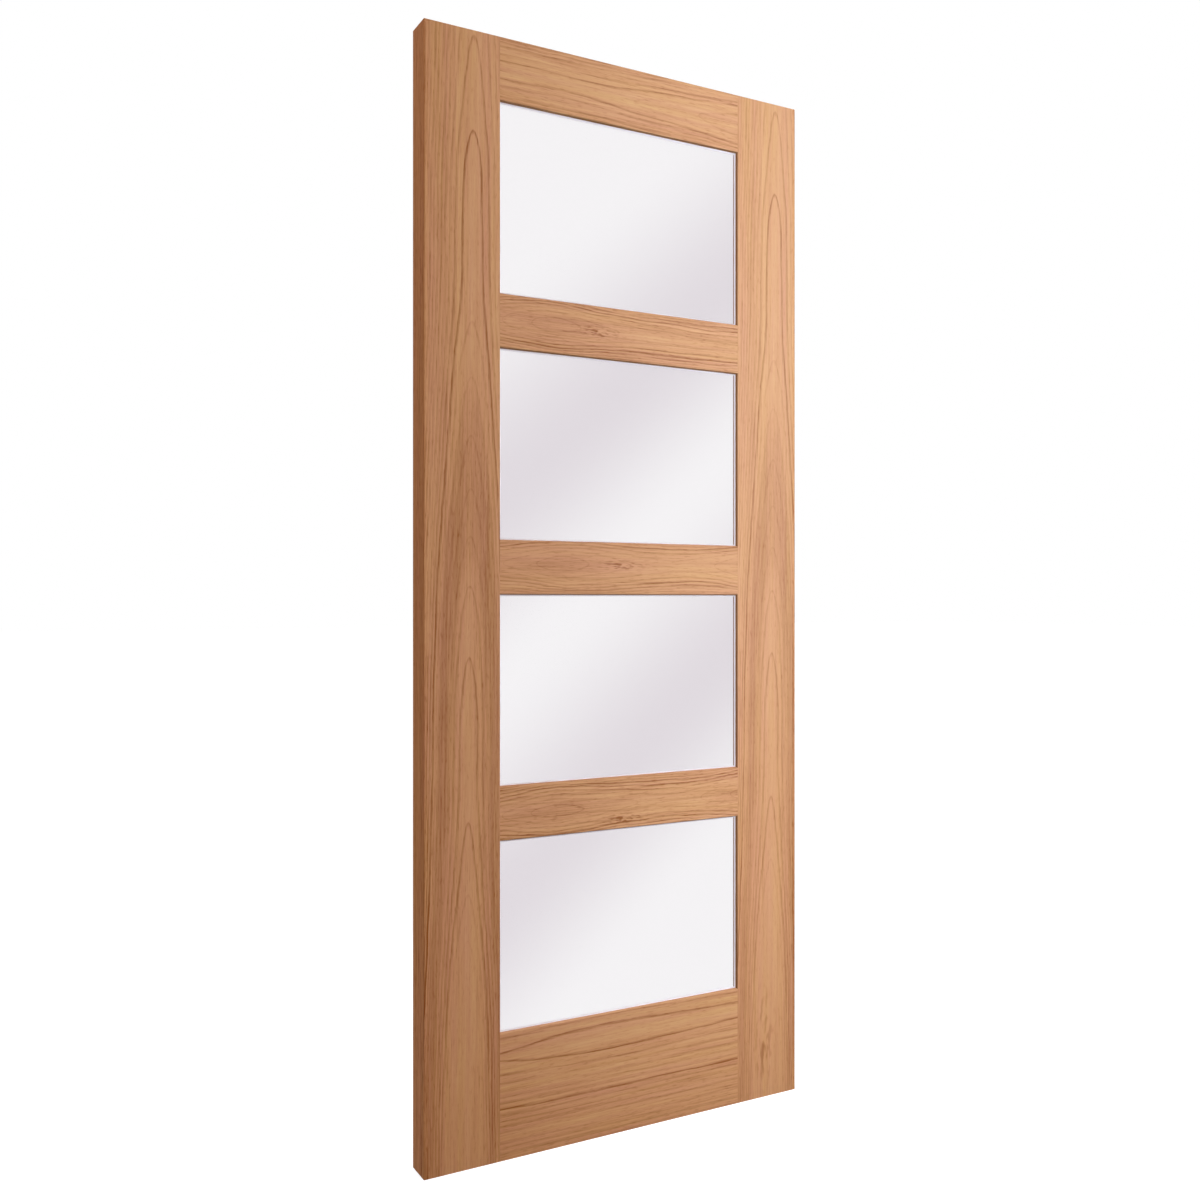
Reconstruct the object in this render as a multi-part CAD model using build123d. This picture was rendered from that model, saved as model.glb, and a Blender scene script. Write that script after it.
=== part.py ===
from build123d import *
import os

# Glazed interior door leaf: two stiles, five rails and four stacked lights.
# Millimetres. X runs from the hanging edge to the lock edge, the front faces -Y, and Z is up.
# The origin is at the foot of the hanging edge, in the middle of its thickness.

# Leaf
leaf_width = 813
leaf_height = 2032
leaf_thickness = 57

# Stiles and rails, as wide as their front faces
stile_width = 145
top_rail_height = 114
glazing_rail_height = 96
bottom_rail_height = 230
lipping_thickness = 8

# Rounded arrises
edge_arris = 1.5
sight_arris = 0.8

# Glazing: the glass seats from the back on a lip that is part of the stiles and rails.
# The lip's inner edge is splayed, so that a light is narrower at the glass than at the front face.
lip_depth = 7
sight_splay = 3
rebate_width = 30
glass_thickness = 6
glass_edge_clearance = 3

# Glazing bead, from the glass towards the back of the leaf, set back so that the lip hides it
bead_setback = 4
bead_depth = 26
bead_nose_height = 2
bead_crown_width = 4
bead_rounding = 1.5

# The lights from top to bottom, and the glazing rails between them
light_names = ["top", "upper", "lower", "bottom"]
glazing_rail_names = ["upper_rail", "middle_rail", "lower_rail"]

front = -leaf_thickness / 2
back = leaf_thickness / 2
glass_front = front + lip_depth
glass_back = glass_front + glass_thickness

face_left = stile_width
face_right = leaf_width - stile_width
sight_left = face_left + sight_splay
sight_right = face_right - sight_splay
rebate_left = sight_left - rebate_width
rebate_right = sight_right + rebate_width

glazed_height = leaf_height - top_rail_height - bottom_rail_height
light_height = (glazed_height - len(glazing_rail_names) * glazing_rail_height) / len(light_names)


def block(x_range, y_range, z_range):
    """A square-edged block between the two limits given on each axis."""
    corners = zip(x_range, y_range, z_range)
    low, high = [Vector(*corner) for corner in corners]
    size = high - low
    return Pos(*low) * Box(size.X, size.Y, size.Z, align=Align.MIN)


def hanging_side_stile():
    """Full-height stile whose inner edge is rebated from the back, leaving the glazing lip in front."""
    outline = Polyline(
        (lipping_thickness, front),
        (face_left, front),
        (sight_left, glass_front),
        (rebate_left, glass_front),
        (rebate_left, back),
        (lipping_thickness, back),
        close=True,
    )
    section = make_face(outline)
    inner_arrises = section.vertices().filter_by_position(Axis.X, rebate_left, sight_left)
    face_arrises = inner_arrises.sort_by(Axis.Y)
    section = fillet([face_arrises[0], face_arrises[-1]], sight_arris)
    return extrude(section, amount=leaf_height)


def hanging_side_lipping():
    """Solid strip on the long outer edge of the stile, with both long arrises rounded."""
    strip = block((0, lipping_thickness), (front, back), (0, leaf_height))
    outer_arrises = strip.edges().filter_by(Axis.Z).group_by(Axis.X)[0]
    return fillet(outer_arrises, edge_arris)


def mirrored_across_leaf(piece):
    """The same piece on the other long edge of the leaf."""
    return mirror(piece, about=Plane.YZ.offset(leaf_width / 2))


def upright_face(y, x_range, z_range):
    """A rectangle that faces the front, between the limits given across and up the leaf."""
    width = x_range[1] - x_range[0]
    height = z_range[1] - z_range[0]
    middle = (sum(x_range) / 2, y, sum(z_range) / 2)
    return Plane(origin=middle, x_dir=(1, 0, 0), z_dir=(0, -1, 0)) * Rectangle(width, height)


def rail(bottom, top, glazed_below, glazed_above):
    """Rail with a long front shoulder and a short back one.

    The lip's ends are scribed to the splayed edges of the stiles, and the body behind it runs on
    to fill the rebates of the stiles. A glazed edge is splayed and rebated as the stiles are.
    """
    sight_bottom = bottom - sight_splay if glazed_below else bottom
    sight_top = top + sight_splay if glazed_above else top
    body_bottom = sight_bottom + rebate_width if glazed_below else bottom
    body_top = sight_top - rebate_width if glazed_above else top
    lip_front = upright_face(front, (face_left, face_right), (bottom, top))
    lip_back = upright_face(glass_front, (sight_left, sight_right), (sight_bottom, sight_top))
    lip = loft([lip_front, lip_back], ruled=True)
    body = block((rebate_left, rebate_right), (glass_front, back), (body_bottom, body_top))
    front_edges = lip.edges().filter_by(Axis.X).group_by(Axis.Y)[0]
    back_edges = body.edges().filter_by(Axis.X).group_by(Axis.Y)[-1]
    eased_lip = ease_glazed(front_edges, glazed_below, glazed_above)
    eased_body = ease_glazed(back_edges, glazed_below, glazed_above)
    return eased_lip + eased_body


def ease_glazed(face_edges, glazed_below, glazed_above):
    """Round the lower and upper edge of a rail's face, only where a light meets the rail."""
    long_edges = face_edges.sort_by(Axis.Z)
    glazed_edges = []
    if glazed_below:
        glazed_edges.append(long_edges[0])
    if glazed_above:
        glazed_edges.append(long_edges[-1])
    return fillet(glazed_edges, sight_arris)


def pane(sight_bottom, sight_top):
    """Glass sheet, let into the rebates with clearance all round its edge."""
    reach = rebate_width - glass_edge_clearance
    return block(
        (sight_left - reach, sight_right + reach),
        (glass_front, glass_back),
        (sight_bottom - reach, sight_top + reach),
    )


def bead_section():
    """Bead profile: X from the rebate wall towards the sight edge, Y from the glass to the back."""
    bead_width = rebate_width - bead_setback
    outline = Polyline(
        (0, 0),
        (bead_width, 0),
        (bead_width, bead_nose_height),
        (bead_crown_width, bead_depth),
        (0, bead_depth),
        close=True,
    )
    section = make_face(outline)
    shaped_corners = section.vertices().filter_by(lambda corner: corner.X > 0 and corner.Y > 0)
    return fillet(shaped_corners, bead_rounding)


def mitred_bead(start, direction, length):
    """Bead that runs from a rebate corner in the given direction, mitred at both ends."""
    stick = extrude(Plane.YZ * bead_section(), amount=length)
    start_mitre = Plane(origin=(0, 0, 0), z_dir=(1, -1, 0))
    end_mitre = Plane(origin=(length, 0, 0), z_dir=(-1, -1, 0))
    for mitre in (start_mitre, end_mitre):
        stick = split(stick, bisect_by=mitre, keep=Keep.TOP)
    return Plane(origin=start, x_dir=direction, z_dir=(0, 1, 0)) * stick


def beads_round_light(sight_bottom, sight_top):
    """The four beads of one light, named for the side of the light that they hold."""
    low = sight_bottom - rebate_width
    high = sight_top + rebate_width
    across = rebate_right - rebate_left
    upright = high - low
    return {
        "head": mitred_bead((rebate_left, glass_back, high), (1, 0, 0), across),
        "lock": mitred_bead((rebate_right, glass_back, high), (0, 0, -1), upright),
        "sill": mitred_bead((rebate_right, glass_back, low), (-1, 0, 0), across),
        "hanging": mitred_bead((rebate_left, glass_back, low), (0, 0, 1), upright),
    }


def door_pieces():
    """Every piece of the leaf, by node name."""
    pieces = {
        "hanging_stile": hanging_side_stile(),
        "hanging_edge_lipping": hanging_side_lipping(),
        "top_rail": rail(leaf_height - top_rail_height, leaf_height, True, False),
        "bottom_rail": rail(0, bottom_rail_height, False, True),
    }
    pieces["lock_stile"] = mirrored_across_leaf(pieces["hanging_stile"])
    pieces["lock_edge_lipping"] = mirrored_across_leaf(pieces["hanging_edge_lipping"])

    light_top = leaf_height - top_rail_height
    for row, light in enumerate(light_names):
        light_bottom = light_top - light_height
        sight_bottom = light_bottom + sight_splay
        sight_top = light_top - sight_splay
        pieces[f"{light}_pane"] = pane(sight_bottom, sight_top)
        for side, bead in beads_round_light(sight_bottom, sight_top).items():
            pieces[f"{light}_pane_{side}_bead"] = bead
        light_top = light_bottom - glazing_rail_height
        if row < len(glazing_rail_names):
            pieces[glazing_rail_names[row]] = rail(light_top, light_bottom, True, True)
    return pieces


os.makedirs("parts", exist_ok=True)
for node, piece in door_pieces().items():
    export_step(piece, f"parts/{node}.step")
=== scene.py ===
import math
from dataclasses import dataclass, replace

import bpy
import numpy as np
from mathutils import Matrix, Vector


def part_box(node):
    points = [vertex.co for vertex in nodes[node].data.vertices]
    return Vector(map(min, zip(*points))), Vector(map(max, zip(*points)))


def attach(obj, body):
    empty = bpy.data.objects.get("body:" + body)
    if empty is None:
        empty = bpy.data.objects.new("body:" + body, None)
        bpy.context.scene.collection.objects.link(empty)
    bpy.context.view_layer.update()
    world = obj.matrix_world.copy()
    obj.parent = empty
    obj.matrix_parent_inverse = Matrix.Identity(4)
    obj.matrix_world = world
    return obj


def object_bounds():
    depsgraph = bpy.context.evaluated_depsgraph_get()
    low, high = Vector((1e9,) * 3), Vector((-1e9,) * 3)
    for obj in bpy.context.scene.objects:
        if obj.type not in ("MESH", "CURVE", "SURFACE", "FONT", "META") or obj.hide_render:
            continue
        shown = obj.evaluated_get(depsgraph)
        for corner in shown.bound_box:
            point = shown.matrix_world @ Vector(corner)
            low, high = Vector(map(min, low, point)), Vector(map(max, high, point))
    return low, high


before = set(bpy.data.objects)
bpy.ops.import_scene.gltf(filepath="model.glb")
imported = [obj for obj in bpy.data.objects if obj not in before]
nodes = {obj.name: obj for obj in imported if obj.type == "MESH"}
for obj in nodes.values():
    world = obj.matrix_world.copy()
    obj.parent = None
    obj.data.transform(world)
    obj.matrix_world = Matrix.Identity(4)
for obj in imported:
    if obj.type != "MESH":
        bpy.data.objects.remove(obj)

cad_low, cad_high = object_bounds()
MM = 0.001

# Members of the leaf: the front face in metres, and the stiles in millimetres, as the figure of the wood is
light_names = ["top", "upper", "lower", "bottom"]
front_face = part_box("hanging_stile")[0].y
stile_width = 145
lock_stile_left = round(cad_high.x / MM) - stile_width

# Glazing bead section in millimetres from the rebate wall and from the glass, and the pins through it
bead_nose = (26, 2)
bead_crown = (4, 26)
pin_spacing = 140 * MM
pin_radius = 1.8 * MM
pin_rise = 0.3 * MM
pin_sunk = 0.05 * MM

# Sealant round each pane, and the splayed sight edge that it lies against
pane_behind_lip = 27 * MM
lip_depth = 7 * MM
sight_splay = 3 * MM
seal_on_glass = 1.2 * MM
seal_height = 2.4 * MM

# Light: cool from the front and the lock side, warm from all round and at the hanging edge
cool_white = "#E5F1FF"
warm_white = "#FFD4AD"
all_round_strength = 0.485


def linear(hex_colour):
    """Turn an sRGB hex colour into linear red, green, blue and an alpha of one."""
    parts = [int(hex_colour[i:i + 2], 16) / 255 for i in (1, 3, 5)]
    return tuple(((c + 0.055) / 1.055) ** 2.4 if c > 0.04045 else c / 12.92 for c in parts) + (1.0,)


def per_metre(across_mm, along_mm):
    """Pattern rates across, into and along the grain, from the pattern's size in millimetres."""
    return (1000 / across_mm, 1000 / across_mm, 1000 / along_mm)


def add(tree, kind, links=None, stops=(), curve=(), **settings):
    """Add one shader node with its properties, colour stops or curve points, and set or link its inputs."""
    node = tree.nodes.new("ShaderNode" + kind)
    for name, value in settings.items():
        setattr(node, name, value)
    for place, (position, colour) in enumerate(stops):
        ramp = node.color_ramp.elements
        stop = ramp[place] if place < len(ramp) else ramp.new(position)
        stop.position = position
        stop.color = linear(colour)
    for place, point in enumerate(curve):
        points = node.mapping.curves[0].points
        if place < 2:
            points[place].location = point
        else:
            points.new(*point)
    if curve:
        node.mapping.update()
    for key, value in (links or {}).items():
        if isinstance(value, bpy.types.Node):
            value = value.outputs[0]
        if isinstance(value, bpy.types.NodeSocket):
            tree.links.new(value, node.inputs[key])
        else:
            node.inputs[key].default_value = value
    return node


def new_material(name):
    """An empty material, its node tree and its output node."""
    material = bpy.data.materials.new(name)
    material.use_nodes = True
    material.node_tree.nodes.clear()
    output = add(material.node_tree, "OutputMaterial")
    return material, material.node_tree, output


def dress(node_name, material):
    """Give a solid of the leaf its finish."""
    mesh = nodes[node_name].data
    mesh.materials.clear()
    mesh.materials.append(material)


@dataclass
class Figure:
    """How a leaf of veneer lay in its log, in millimetres.

    axis is the place of the pith line across the leaf, at the start of the leaf's length, and lean its drift
    per length. pith_depth gives the line's depth under the face along the grain, ring_lines how strongly the
    growth ring of each radius shows, and shade how much darker the wood of each radius is. ring_width is the
    width of a ring, line_width the reach of its dark line, and wander how far the rings stray. contrast says
    how boldly it all shows. flecks, if any, is a patch of short dark dashes: its place along and across, its
    length and its width. Leaves with the same seed have the same chance marks.
    """
    axis: float
    pith_depth: list
    ring_lines: list
    shade: list
    ring_width: float = 4
    line_width: float = 10
    lean: float = 0.0
    wander: float = 3
    contrast: float = 1.0
    flecks: tuple = ()
    seed: float = 0.0


def grain_noise(tree, place, across_mm, along_mm, detail, roughness=0.5):
    """Soft noise drawn out along the grain, in patches of the given width and length."""
    stretched = add(tree, "VectorMath", {0: place, 1: per_metre(across_mm, along_mm)}, operation="MULTIPLY")
    grading = {"Vector": stretched, "Scale": 1.0, "Detail": detail, "Roughness": roughness}
    return add(tree, "TexNoise", grading)


def drawn_curve(tree, value, pairs, unit):
    """A curve drawn through pairs of place and height, where unit is one step of place in the value.

    Gives the height as a share of the highest point, and that point.
    """
    points = np.array(pairs, float)
    first, last = points[0, 0], points[-1, 0]
    top = points[:, 1].max()
    points = (points - (first, 0)) / (last - first, top)
    share = add(tree, "MapRange", {"Value": value, "From Min": first * unit, "From Max": last * unit})
    return add(tree, "FloatCurve", {"Value": share}, curve=points.tolist()), top


def ring_edges(tree, figure, moved, radius, fibre):
    """Dark porous line at the outer edge of each growth ring, and the strength of the strongest one.

    A line is as wide on the flanks of an arch as round its tip, soft on both sides and broken up along the
    fibres: its reach = distance to the ring's edge over the slope of the ring. Rings differ by chance too.
    """
    ring = add(tree, "Math", {0: radius, 1: figure.ring_width * MM}, operation="DIVIDE")
    number = add(tree, "Math", {0: ring}, operation="CEIL")
    inside = add(tree, "Math", {0: number, 1: ring}, operation="SUBTRACT")
    slope = add(tree, "Math", {0: moved, 1: radius}, operation="DIVIDE")
    slope = add(tree, "Math", {0: slope}, operation="ABSOLUTE")
    least_slope = 0.04
    slope = add(tree, "Math", {0: slope, 1: least_slope}, operation="MAXIMUM")
    to_edge = add(tree, "Math", {0: inside, 1: slope}, operation="DIVIDE")

    reach = figure.line_width / figure.ring_width
    span = {"Value": to_edge, "From Min": reach, "From Max": 0.0}
    line = add(tree, "MapRange", span, interpolation_type="SMOOTHSTEP")
    span = {"Value": to_edge, "From Min": 0.0, "From Max": reach / 3}
    near = add(tree, "MapRange", span, interpolation_type="SMOOTHSTEP")
    span = {"Value": fibre, "From Min": 0.35, "From Max": 0.65, "To Min": 0.75, "To Max": 1.15}
    broken = add(tree, "MapRange", span)

    strength, strongest = drawn_curve(tree, number, figure.ring_lines, 1 / figure.ring_width)
    chance = add(tree, "TexWhiteNoise", {"W": number}, noise_dimensions="1D").outputs["Value"]
    chance = add(tree, "Math", {0: chance, 1: 0.5, 2: 0.6}, operation="MULTIPLY_ADD")
    for factor in (near, broken, strength, chance):
        line = add(tree, "Math", {0: line, 1: factor}, operation="MULTIPLY")
    return line, strongest


def fleck_patch(tree, grain, patch):
    """Short dark dashes in an oval patch, which fade out towards its rim."""
    along, across, length, width = patch
    centre = (across * MM, 0, along * MM)
    spread = add(tree, "VectorMath", {0: grain, 1: centre}, operation="SUBTRACT")
    spread = add(tree, "VectorMath", {0: spread, 1: per_metre(width, length)}, operation="MULTIPLY")
    away = add(tree, "VectorMath", {0: spread}, operation="LENGTH").outputs["Value"]
    fade = add(tree, "MapRange", {"Value": away, "From Min": 0.5, "From Max": 0.1})
    dashes_across = 7.0
    dash = add(tree, "TexNoise", {"Vector": spread, "Scale": dashes_across, "Detail": 1.0})
    dash = add(tree, "MapRange", {"Value": dash, "From Min": 0.48, "From Max": 0.62})
    return add(tree, "Math", {0: dash, 1: fade}, operation="MULTIPLY")


def painted_edge_shade(tree, colour, edge_shade_depth):
    """The colour with painted shade: darkened on narrow edges that look down or sideways, where shade falls.
    """
    normal = add(tree, "NewGeometry").outputs["True Normal"]
    facing = add(tree, "SeparateXYZ", {0: normal}).outputs
    out = add(tree, "Math", {0: facing["Y"]}, operation="ABSOLUTE")
    edge = add(tree, "MapRange", {"Value": out, "From Min": 0.9, "From Max": 0.5})
    span = {"Value": facing["Z"], "From Min": 0.5, "From Max": 0.2, "To Max": edge}
    edge = add(tree, "MapRange", span)
    kept = add(tree, "Math", {0: edge, 1: -edge_shade_depth, 2: 1.0}, operation="MULTIPLY_ADD")
    return add(tree, "VectorMath", {0: colour, "Scale": kept}, operation="SCALE")


def oak(name, figure, level, gloss=0.15, edge_shade=0.0):
    """Crown-cut oak, sanded and lightly sealed: arched growth rings with a dark porous line at each ring,
    long soft streaks, short open pores and a low satin sheen.

    The rings are cylinders about a pith line that rises and dips under the face:
    radius = length of (distance across, depth under the face), ring = radius over ring width.
    A level piece has its grain along X, an upright one along Z. The last argument says how much darker
    the narrow edges are than the faces, where they look down or sideways: painted shade, for the shade there.
    """
    material, tree, output = new_material(name)
    place = add(tree, "TexCoord").outputs["Object"]
    turn = (0, -math.radians(90), 0) if level else (0, -figure.lean, 0)
    shift = (figure.axis * MM, -front_face, 0) if level else (-figure.axis * MM, -front_face, 0)
    grain = add(tree, "Mapping", {"Vector": place, "Rotation": turn, "Location": shift})
    across, inward, along = add(tree, "SeparateXYZ", {0: grain}).outputs
    seeded = add(tree, "VectorMath", {0: grain, 1: (figure.seed,) * 3}, operation="ADD")

    # Slow wander and a slight raggedness of the rings across the grain
    sway = 2 * figure.wander * MM
    rag = 3.2 * MM
    slow = grain_noise(tree, seeded, 60, 180, detail=2.0)
    ragged = grain_noise(tree, seeded, 6, 40, detail=2.0)
    moved = add(tree, "Math", {0: slow, 1: sway, 2: across}, operation="MULTIPLY_ADD")
    moved = add(tree, "Math", {0: ragged, 1: rag, 2: moved}, operation="MULTIPLY_ADD")
    moved = add(tree, "Math", {0: moved, 1: (sway + rag) / 2}, operation="SUBTRACT")

    # Radius about the pith line, whose depth is a drawn curve along the grain
    depth, deepest = drawn_curve(tree, along, figure.pith_depth, MM)
    depth = add(tree, "Math", {0: depth, 1: deepest * MM, 2: inward}, operation="MULTIPLY_ADD")
    section = add(tree, "CombineXYZ", {0: moved, 1: depth})
    radius = add(tree, "VectorMath", {0: section}, operation="LENGTH").outputs["Value"]

    # Fibres, streaks and open pores along the grain, drawn coarser than real ones to show
    fibre = grain_noise(tree, seeded, 2.6, 80, detail=2.0, roughness=0.6)
    streak = grain_noise(tree, seeded, 7, 420, detail=3.0, roughness=0.6)
    pore = grain_noise(tree, seeded, 2.0, 18, detail=1.0)
    pore = add(tree, "MapRange", {"Value": pore, "From Min": 0.55, "From Max": 0.70})

    # Depth of tone: each layer darkens the wood by its weight, and contrast spreads the tones
    line, strongest = ring_edges(tree, figure, moved, radius, fibre)
    shade, darkest = drawn_curve(tree, radius, figure.shade, MM)
    layers = [(streak, 0.50), (fibre, 0.44), (line, 0.62 * strongest), (shade, darkest), (pore, 0.15)]
    if figure.flecks:
        layers.append((fleck_patch(tree, grain, figure.flecks), 0.45))
    tone = -0.10
    for layer, weight in layers:
        tone = add(tree, "Math", {0: layer, 1: weight, 2: tone}, operation="MULTIPLY_ADD")
    even = 0.45
    spread = {0: tone, 1: figure.contrast, 2: even * (1 - figure.contrast)}
    tone = add(tree, "Math", spread, operation="MULTIPLY_ADD")
    light, middle, dark = "#DBB282", "#CA976C", "#92582D"
    colour = add(tree, "ValToRGB", {"Fac": tone}, stops=[(0.0, light), (even, middle), (1.0, dark)])

    # Yellower and pinker bands beside each other along the grain
    swing = Vector((0.0, -0.12, 0.24))
    unchanged = Vector((1.0, 1.0, 1.0))
    hue = grain_noise(tree, seeded, 16, 350, detail=1.0)
    hue = add(tree, "VectorMath", {0: hue, 1: swing, 2: unchanged - swing / 2}, operation="MULTIPLY_ADD")
    colour = add(tree, "VectorMath", {0: colour, 1: hue}, operation="MULTIPLY")
    # Painted shade: narrow edges that look down or sideways are darkened, for the shade that falls on them
    if edge_shade:
        colour = painted_edge_shade(tree, colour, edge_shade)

    # Pores are duller than the sealed wood between them, and dark grain lies lower than light
    dull = add(tree, "Math", {0: pore, 1: 0.15, 2: 0.50}, operation="MULTIPLY_ADD")
    height = add(tree, "Math", {0: tone, 1: -1.0}, operation="MULTIPLY")
    relief = add(tree, "Bump", {"Height": height, "Strength": 0.15, "Distance": 0.3 * MM})
    shader = add(
        tree, "BsdfPrincipled",
        {"Base Color": colour, "Roughness": dull, "Normal": relief, "Specular IOR Level": gloss},
    )
    tree.links.new(shader.outputs[0], output.inputs["Surface"])
    return material


def clear_glass():
    """Clear float glass, polished: sharp reflections and a faint neutral grey in its thickness."""
    material, tree, output = new_material("clear_float_glass")
    shader = add(
        tree, "BsdfPrincipled",
        {"Base Color": linear("#F4F2F4"), "Roughness": 0.0, "IOR": 1.5, "Transmission Weight": 1.0},
    )
    tree.links.new(shader.outputs[0], output.inputs["Surface"])
    return material


# A stile shows one tall stack of arches that point up. Both stiles are leaves of one log
stile_pith = 78.5
stile_lean = 0.0079
stile_depth = [
    (0, 46), (150, 49), (310, 55), (505, 64.5), (622, 68), (700, 69.3), (800, 69.5), (916, 72), (1016, 75),
    (1216, 84), (1349, 89.5), (1416, 92), (1549, 96.8), (1700, 97.5), (1800, 98.4), (1857, 100),
    (2032, 104.1),
]
stile_lines = [
    (40, 0.1), (60, 0.15), (64, 0.4), (68, 0.7), (72, 1.0), (76, 0.4), (84, 0.3), (92, 0.3), (96, 0.4),
    (100, 1.0), (104, 0.85), (108, 0.6), (116, 0.55), (150, 0.5),
]
stile_shade = [
    (60, 0), (70, 0.04), (74, 0.06), (78, 0.16), (84, 0.26), (89, 0.22), (93, 0.06), (97, 0), (150, 0),
]


def stile_figure(stile_left, contrast, flecks=()):
    """Figure of a stile, whose pith line at the foot lies a little right of its middle."""
    return Figure(
        axis=stile_left + stile_pith, lean=stile_lean, pith_depth=stile_depth, ring_lines=stile_lines,
        shade=stile_shade, contrast=contrast, flecks=flecks, seed=3.0,
    )


# The lock stile has dark flecks near its foot, as a small knot leaves them
stile_figures = {
    "hanging": stile_figure(0, contrast=1.0),
    # The lock stile's figure is drawn with less contrast: painted sheen, for the shine of the light from the
    # lock side
    "lock": stile_figure(lock_stile_left, contrast=0.8, flecks=(120, -14, 260, 60)),
}

# A glazing rail shows ovals towards the hanging end, and a point that opens towards the lock end
glazing_rail_lines = [
    (56, 0.25), (66, 0.3), (69, 0.3), (72, 0.3), (75, 0.45), (78, 1.0), (84, 0.5), (100, 0.5),
]
glazing_rail_shade = [(56, 0.17), (64, 0.15), (67, 0.1), (70, 0.05), (100, 0.05)]


def glazing_rail_figure(axis, contrast, flecks, seed, pith_depth):
    """Figure of a glazing rail: narrow rings with fine lines that stray far."""
    return Figure(
        axis=axis, pith_depth=pith_depth, ring_lines=glazing_rail_lines, shade=glazing_rail_shade,
        ring_width=3, line_width=6, wander=8, contrast=contrast, flecks=flecks, seed=seed,
    )


rail_figures = {
    "top_rail": Figure(
        axis=1972, wander=7, contrast=1.2, seed=17.0,
        pith_depth=[(140, 77.5), (200, 77.7), (350, 77.5), (450, 75.3), (571, 72), (670, 67.8)],
        ring_lines=[(60, 0.3), (72, 0.4), (76, 0.2), (80, 1.0), (84, 0.6), (88, 0.3), (92, 0.6), (120, 0.4)],
        shade=[(60, 0.1), (70, 0.05), (76, 0), (120, 0)],
    ),
    "upper_rail": glazing_rail_figure(
        axis=1523, contrast=1.2, flecks=(348, 2, 110, 26), seed=11.0,
        pith_depth=[
            (140, 69.5), (200, 66.3), (256, 64.5), (300, 65.5), (345, 67.5), (420, 69.5), (500, 70.5),
            (670, 71),
        ],
    ),
    "middle_rail": glazing_rail_figure(
        axis=1081, contrast=1.1, flecks=(400, 0, 130, 24), seed=13.0,
        pith_depth=[
            (140, 69.5), (205, 66.5), (265, 64.5), (330, 66), (405, 68.5), (480, 70.5), (540, 70.8),
            (594, 69.6), (670, 66),
        ],
    ),
    "lower_rail": glazing_rail_figure(
        axis=624, contrast=1.4, flecks=(402, 26, 110, 26), seed=15.0,
        pith_depth=[
            (140, 69.5), (195, 66.5), (250, 64.5), (320, 66), (437, 69), (490, 70.3), (530, 70.4),
            (566, 69.4), (670, 65),
        ],
    ),
    "bottom_rail": Figure(
        axis=188, ring_width=9, wander=4, contrast=1.1, seed=23.0,
        pith_depth=[(140, 62.5), (200, 61), (250, 59.5), (305, 58.2), (400, 57.4), (500, 58.3), (670, 60.2)],
        ring_lines=[
            (54, 0.2), (63, 1.0), (72, 0.5), (99, 0.45), (108, 0.5), (117, 1.0), (126, 0.4), (200, 0.4),
        ],
        shade=[(54, 0), (110, 0), (130, 0.03), (200, 0.05)],
    ),
}

# A bead is cut far from the pith, so its rings run nearly straight
bead_figure = Figure(
    axis=0, wander=1, seed=41.0, pith_depth=[(0, 300), (2032, 310)],
    ring_lines=[(200, 0.5), (2400, 0.6)], shade=[(200, 0.05), (2400, 0.05)],
)


def dress_leaf():
    """Every member of the leaf in its own oak, and the panes in glass that lets the lamps through.

    A lipping carries on the figure of its stile, and its planed side is left unsealed, so it hardly shines.
    """
    # How far painted shade darkens the narrow edges that look down or sideways
    edge_shade_depth = 0.45
    for side, figure in stile_figures.items():
        dress(f"{side}_stile", oak(f"crown_cut_oak_{side}_stile", figure, level=False, edge_shade=edge_shade_depth))
        lipping = oak(f"planed_oak_{side}_edge", replace(figure, contrast=1.3), level=False, gloss=0.04)
        dress(f"{side}_edge_lipping", lipping)
    for node_name, figure in rail_figures.items():
        dress(node_name, oak("crown_cut_oak_" + node_name, figure, level=True, edge_shade=edge_shade_depth))
    upright_bead = oak("moulded_oak_upright_bead", bead_figure, level=False)
    level_bead = oak("moulded_oak_level_bead", bead_figure, level=True)
    glass = clear_glass()
    for light in light_names:
        pane = f"{light}_pane"
        dress(pane, glass)
        nodes[pane].visible_shadow = False
        for side in ("head", "sill"):
            dress(f"{pane}_{side}_bead", level_bead)
        for side in ("hanging", "lock"):
            dress(f"{pane}_{side}_bead", upright_bead)


def mesh_piece(name, points, faces, material):
    """A mesh object at the origin, from an array of points and a list of faces."""
    mesh = bpy.data.meshes.new(name)
    mesh.from_pydata(points.tolist(), [], faces)
    mesh.materials.append(material)
    piece = bpy.data.objects.new(name, mesh)
    bpy.context.scene.collection.objects.link(piece)
    return piece


def wood_filler():
    """Oak-coloured wood filler, wiped flat and sanded: matt, a little darker than the bead and mottled."""
    material, tree, output = new_material("sanded_wood_filler")
    mottle_mm = 1.2
    place = add(tree, "TexCoord").outputs["Object"]
    mottle = add(tree, "TexNoise", {"Vector": place, "Scale": 1000 / mottle_mm, "Detail": 2.0})
    colour = add(tree, "ValToRGB", {"Fac": mottle}, stops=[(0.3, "#B98355"), (0.7, "#8F5E38")])
    shader = add(tree, "BsdfPrincipled", {"Base Color": colour, "Roughness": 0.75, "Specular IOR Level": 0.2})
    tree.links.new(shader.outputs[0], output.inputs["Surface"])
    return material


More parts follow.
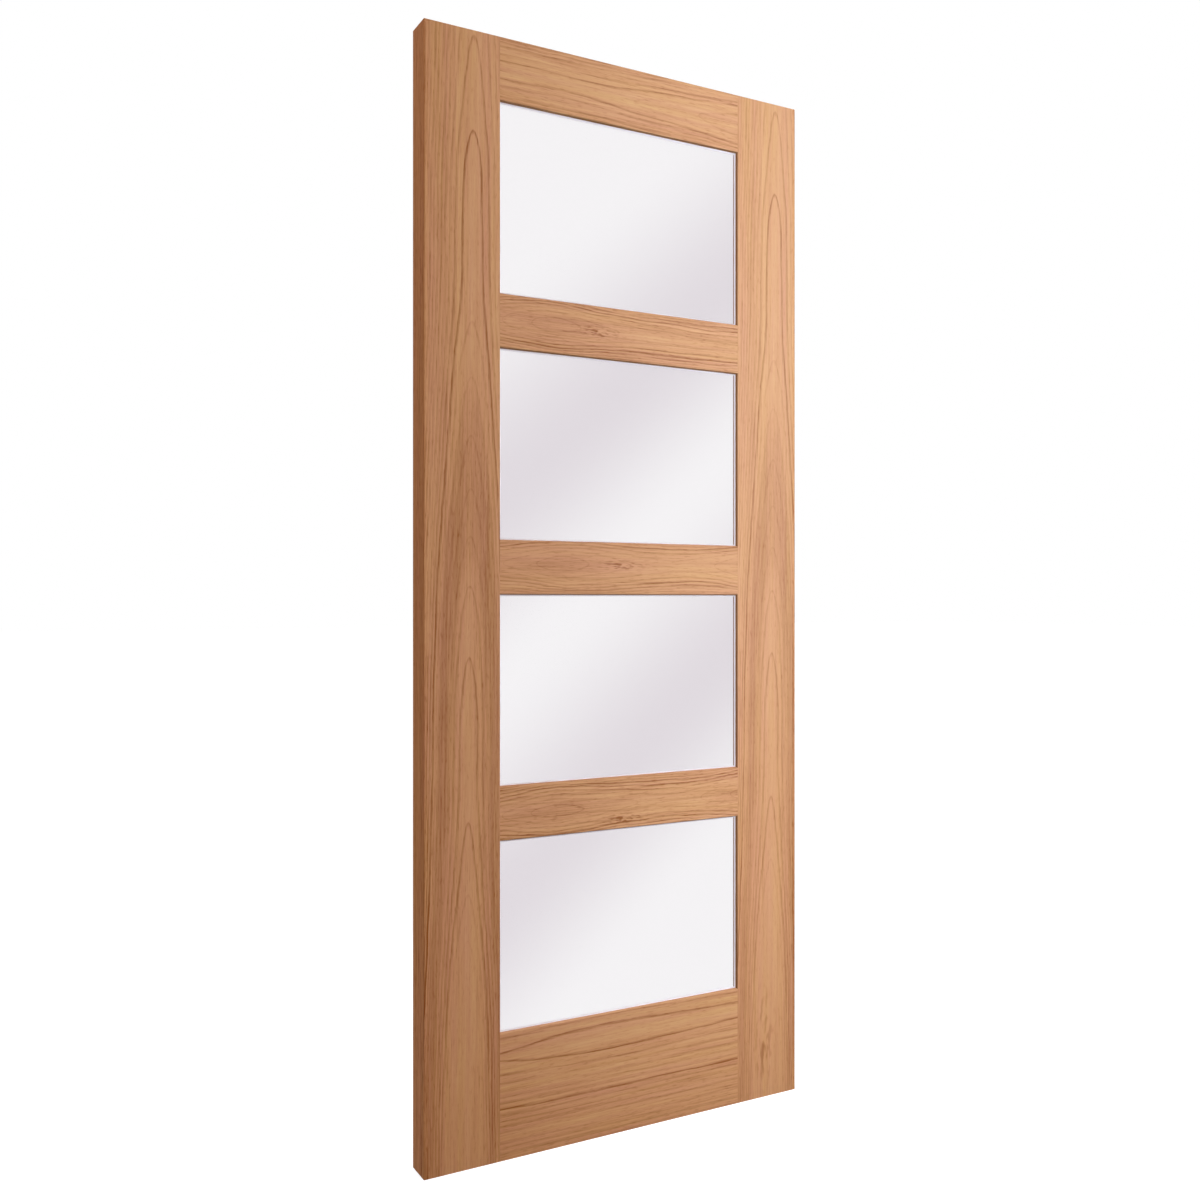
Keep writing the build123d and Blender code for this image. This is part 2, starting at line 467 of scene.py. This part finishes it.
def pin_heads():
    """Filled heads of the glazing pins, in a row along the middle of each bead's splay.

    Each head is a shallow dome over rings and angles: height = rise x (1 - distance from its middle squared).
    """
    openings = {
        "head": Vector((0, 0, -1)),
        "sill": Vector((0, 0, 1)),
        "hanging": Vector((1, 0, 0)),
        "lock": Vector((-1, 0, 0)),
    }
    back = Vector((0, 1, 0))
    from_wall = (bead_nose[0] + bead_crown[0]) / 2 * MM
    from_glass = (bead_nose[1] + bead_crown[1]) / 2 * MM
    slope = Vector((bead_crown[1] - bead_nose[1], bead_nose[0] - bead_crown[0])).normalized()
    centres, runs, normals = [], [], []
    for light in light_names:
        for side, opening in openings.items():
            low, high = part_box(f"{light}_pane_{side}_bead")
            run = opening.cross(back)
            size = high - low
            length = abs(size.dot(run))
            wall = (low + high) / 2 - opening * abs(size.dot(opening)) / 2
            row = wall + opening * from_wall
            row.y = low.y + from_glass
            count = int(length / pin_spacing)
            for place in range(count):
                centres.append(row + run * ((place + 0.5) / count - 0.5) * length)
                runs.append(run)
                normals.append(opening * slope.x + back * slope.y)
    centres, runs, normals = np.array(centres), np.array(runs), np.array(normals)
    sides = np.cross(normals, runs)

    rings, turns = 4, 16
    distance = np.linspace(1 / rings, 1, rings)
    angle = np.linspace(0, 2 * np.pi, turns, endpoint=False)
    distance, angle = np.meshgrid(distance, angle, indexing="ij")
    along_run = (pin_radius * distance * np.cos(angle)).ravel()
    along_side = (pin_radius * distance * np.sin(angle)).ravel()
    height = (pin_rise * (1 - distance ** 2) - pin_sunk).ravel()
    points = (
        centres[:, None]
        + along_run[None, :, None] * runs[:, None]
        + along_side[None, :, None] * sides[:, None]
        + height[None, :, None] * normals[:, None]
    )
    i, j = np.meshgrid(np.arange(rings - 1), np.arange(turns), indexing="ij")
    k = (j + 1) % turns
    dome = np.stack([i * turns + j, (i + 1) * turns + j, (i + 1) * turns + k, i * turns + k], -1)
    firsts = np.arange(len(centres))[:, None, None] * rings * turns
    walls = (dome.reshape(-1, 4)[None] + firsts).reshape(-1, 4)
    caps = (np.arange(turns)[None, None] + firsts).reshape(-1, turns)
    faces = walls.tolist() + caps.tolist()
    piece = mesh_piece("glazing_pin_heads", points.reshape(-1, 3), faces, wood_filler())
    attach(piece, "root")


def white_silicone():
    """White glazing silicone: smooth and softly glossy, a little uneven where it was wiped."""
    material, tree, output = new_material("white_glazing_silicone")
    wipe_mm = 25
    place = add(tree, "TexCoord").outputs["Object"]
    wiped = add(tree, "TexNoise", {"Vector": place, "Scale": 1000 / wipe_mm, "Detail": 2.0})
    colour = add(tree, "ValToRGB", {"Fac": wiped}, stops=[(0.3, "#F6F2F8"), (0.7, "#EEE9F2")])
    shader = add(tree, "BsdfPrincipled", {"Base Color": colour, "Roughness": 0.35})
    tree.links.new(shader.outputs[0], output.inputs["Surface"])
    return material


def glazing_seals():
    """Fillet of sealant round the front of each pane, in the corner between the glass and the sight edge.

    A three-cornered profile goes round a rectangle with mitred corners: X and Z = the limits of the opening,
    moved inwards by the profile's offset, Y = the front of the glass less the profile's height. Its corners
    are tucked into the wood, on the glass and on the splay, a hair off both surfaces.
    """
    tucked = 0.2 * MM
    off_glass = 0.05 * MM
    off_splay = 0.1 * MM
    up_splay = off_splay - sight_splay / lip_depth * seal_height
    offset = np.array([-tucked, seal_on_glass, up_splay])[:, None]
    height = np.array([off_glass, off_glass, seal_height])[:, None]
    inward_x, inward_z = np.array([1, -1, -1, 1]), np.array([1, 1, -1, -1])
    loops = []
    for light in light_names:
        low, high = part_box(f"{light}_pane")
        x = np.where(inward_x > 0, low.x, high.x) + inward_x * (pane_behind_lip + offset)
        z = np.where(inward_z > 0, low.z, high.z) + inward_z * (pane_behind_lip + offset)
        y = np.broadcast_to(low.y - height, x.shape)
        loops.append(np.stack([x, y, z], -1).reshape(-1, 3))
    edges, corners = len(offset), len(inward_x)
    i, j = np.meshgrid(np.arange(edges), np.arange(corners), indexing="ij")
    m, k = (i + 1) % edges, (j + 1) % corners
    sides = np.stack([i * corners + j, m * corners + j, m * corners + k, i * corners + k], -1).reshape(-1, 4)
    firsts = np.arange(len(loops))[:, None, None] * edges * corners
    faces = (sides[None] + firsts).reshape(-1, 4)
    piece = mesh_piece("glazing_seals", np.concatenate(loops), faces.tolist(), white_silicone())
    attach(piece, "root")


def mirrored_view(tree, path):
    """One for a ray that comes to the eye off a shiny surface or through the glass, and nought for others."""
    shiny, through = path["Is Glossy Ray"], path["Is Transmission Ray"]
    mirrored = add(tree, "Math", {0: shiny, 1: through}, operation="MAXIMUM")
    first = add(tree, "Math", {0: path["Diffuse Depth"], 1: 0.5}, operation="LESS_THAN")
    return add(tree, "Math", {0: mirrored, 1: first}, operation="MULTIPLY")


def floor():
    """Level pale floor under the leaf: matt grey in the light that it throws back, and lifted for the eye.

    The lift brings it to white, so hardly any of the leaf's soft shadow is left to see.
    """
    material, tree, output = new_material("pale_floor")
    path = add(tree, "LightPath").outputs
    shade = add(tree, "BsdfDiffuse", {"Color": linear("#ACACAC")})
    lift = add(tree, "Emission", {"Color": linear("#EFF4F8"), "Strength": 1.0})
    lifted = add(tree, "AddShader", {0: shade, 1: lift})
    white = add(tree, "Emission", {"Strength": 1.0})
    direct = add(tree, "MixShader", {0: path["Is Camera Ray"], 1: shade, 2: lifted})
    shown = add(tree, "MixShader", {0: mirrored_view(tree, path), 1: direct, 2: white})
    tree.links.new(shown.outputs[0], output.inputs["Surface"])
    reach = 40.0
    corners = np.array([[-1, -1, 0], [1, -1, 0], [1, 1, 0], [-1, 1, 0]]) * reach
    mesh_piece("floor", corners, [[0, 1, 2, 3]], material)


def shaded_card():
    """Card behind the leaf, seen only through the glass: white, with soft grey bands on a slant that are
    painted reflection, the sheen of the panes.

    The place along the slant = x times the cosine of its angle, less z times the sine.
    """
    material, tree, output = new_material("shaded_card")
    slant_angle = math.radians(49.14)
    slant_start, slant_end = -1.436, 0.705
    place = add(tree, "TexCoord").outputs["Object"]
    place = add(tree, "SeparateXYZ", {0: place}).outputs
    rise = add(tree, "Math", {0: place["Z"], 1: -math.sin(slant_angle)}, operation="MULTIPLY")
    slant = add(tree, "Math", {0: place["X"], 1: math.cos(slant_angle), 2: rise}, operation="MULTIPLY_ADD")
    share = add(tree, "MapRange", {"Value": slant, "From Min": slant_start, "From Max": slant_end})
    # The grey bands are painted reflection: the slanting sheen of the panes, drawn on what shows through them
    white, grey = "#FFFFFF", "#E8E3E7"
    painted_reflection_bands = add(
        tree, "ValToRGB", {"Fac": share},
        stops=[(0.174, white), (0.352, grey), (0.504, white), (0.683, grey), (0.848, white)],
    )
    painted_reflection_bands.color_ramp.interpolation = "EASE"
    depth = add(tree, "LightPath").outputs["Diffuse Depth"]
    strength = add(tree, "MapRange", {"Value": depth, "To Min": 1.0, "To Max": all_round_strength})
    glow = add(tree, "Emission", {"Color": painted_reflection_bands, "Strength": strength})
    tree.links.new(glow.outputs[0], output.inputs["Surface"])
    left, right, low, high, back = -8.0, 8.0, 0.005, 6.0, 0.55
    corners = np.array([[left, back, low], [right, back, low], [right, back, high], [left, back, high]])
    card = mesh_piece("shaded_card", corners, [[0, 1, 2, 3]], material)
    card.visible_camera = False
    card.visible_diffuse = False
    card.visible_glossy = False
    card.visible_shadow = False


def area_light(name, place, aim, size, power, colour, sheen=False):
    """A soft rectangular lamp that points at aim. A sheen lamp gives only shine, and the others give none."""
    lamp = bpy.data.lights.new(name, "AREA")
    lamp.shape = "RECTANGLE"
    lamp.size, lamp.size_y = size
    lamp.energy = power
    lamp.color = linear(colour)[:3]
    holder = bpy.data.objects.new(name, lamp)
    holder.location = place
    holder.rotation_euler = (Vector(aim) - Vector(place)).to_track_quat("-Z", "Y").to_euler()
    holder.visible_camera = False
    holder.visible_diffuse = not sheen
    holder.visible_glossy = sheen
    holder.visible_transmission = False
    bpy.context.scene.collection.objects.link(holder)


def world_light():
    """Even soft light from all round, and a plain white ground behind the leaf."""
    world = bpy.data.worlds.new("studio")
    world.use_nodes = True
    tree = world.node_tree
    tree.nodes.clear()
    output = add(tree, "OutputWorld")
    path = add(tree, "LightPath").outputs
    seen = add(tree, "Math", {0: mirrored_view(tree, path), 1: path["Is Camera Ray"]}, operation="MAXIMUM")
    soft = add(tree, "Background", {"Color": linear(warm_white), "Strength": all_round_strength})
    white = add(tree, "Background", {"Color": linear("#FFFFFF"), "Strength": 1.0})
    both = add(tree, "MixShader", {0: seen, 1: soft, 2: white})
    tree.links.new(both.outputs[0], output.inputs["Surface"])
    bpy.context.scene.world = world


def camera():
    """Level camera in front of the hanging side, at half the leaf's height."""
    view = bpy.data.cameras.new("camera")
    view.sensor_width = 36.0
    view.lens = 35.94
    holder = bpy.data.objects.new("camera", view)
    holder.location = (-740.5 * MM, front_face - 1982.5 * MM, 1014.6 * MM)
    holder.rotation_euler = (math.radians(90), 0, math.radians(-28.84))
    bpy.context.scene.collection.objects.link(holder)
    bpy.context.scene.camera = holder


dress_leaf()
pin_heads()
glazing_seals()
floor()
shaded_card()
world_light()
area_light("front_strip_softbox", (0.72, -0.80, 1.28), (0.72, 0.0, 1.28), (0.2, 2.5), 11.2, cool_white)
area_light("lock_side_softbox", (1.9, -0.7, 1.3), (0.74, 0.0, 1.3), (0.4, 2.4), 9, cool_white)
area_light("high_softbox", (0.6, -1.0, 2.5), (0.6, 0.0, 1.6), (0.5, 0.5), 2.8, cool_white)
area_light("lock_side_sheen", (2.2, -1.5, 1.7), (0.74, 0.0, 1.5), (0.5, 2.4), 64, "#E9FAFF", sheen=True)
area_light("hanging_edge_softbox", (-1.1, -0.3, 2.2), (0.0, 0.0, 1.6), (0.6, 0.6), 1.7, warm_white)
area_light("back_softbox", (0.35, 1.3, 1.2), (0.45, 0.0, 1.0), (0.5, 1.6), 18, "#E8F1FF")
camera()
bpy.context.scene.view_settings.view_transform = "Standard"
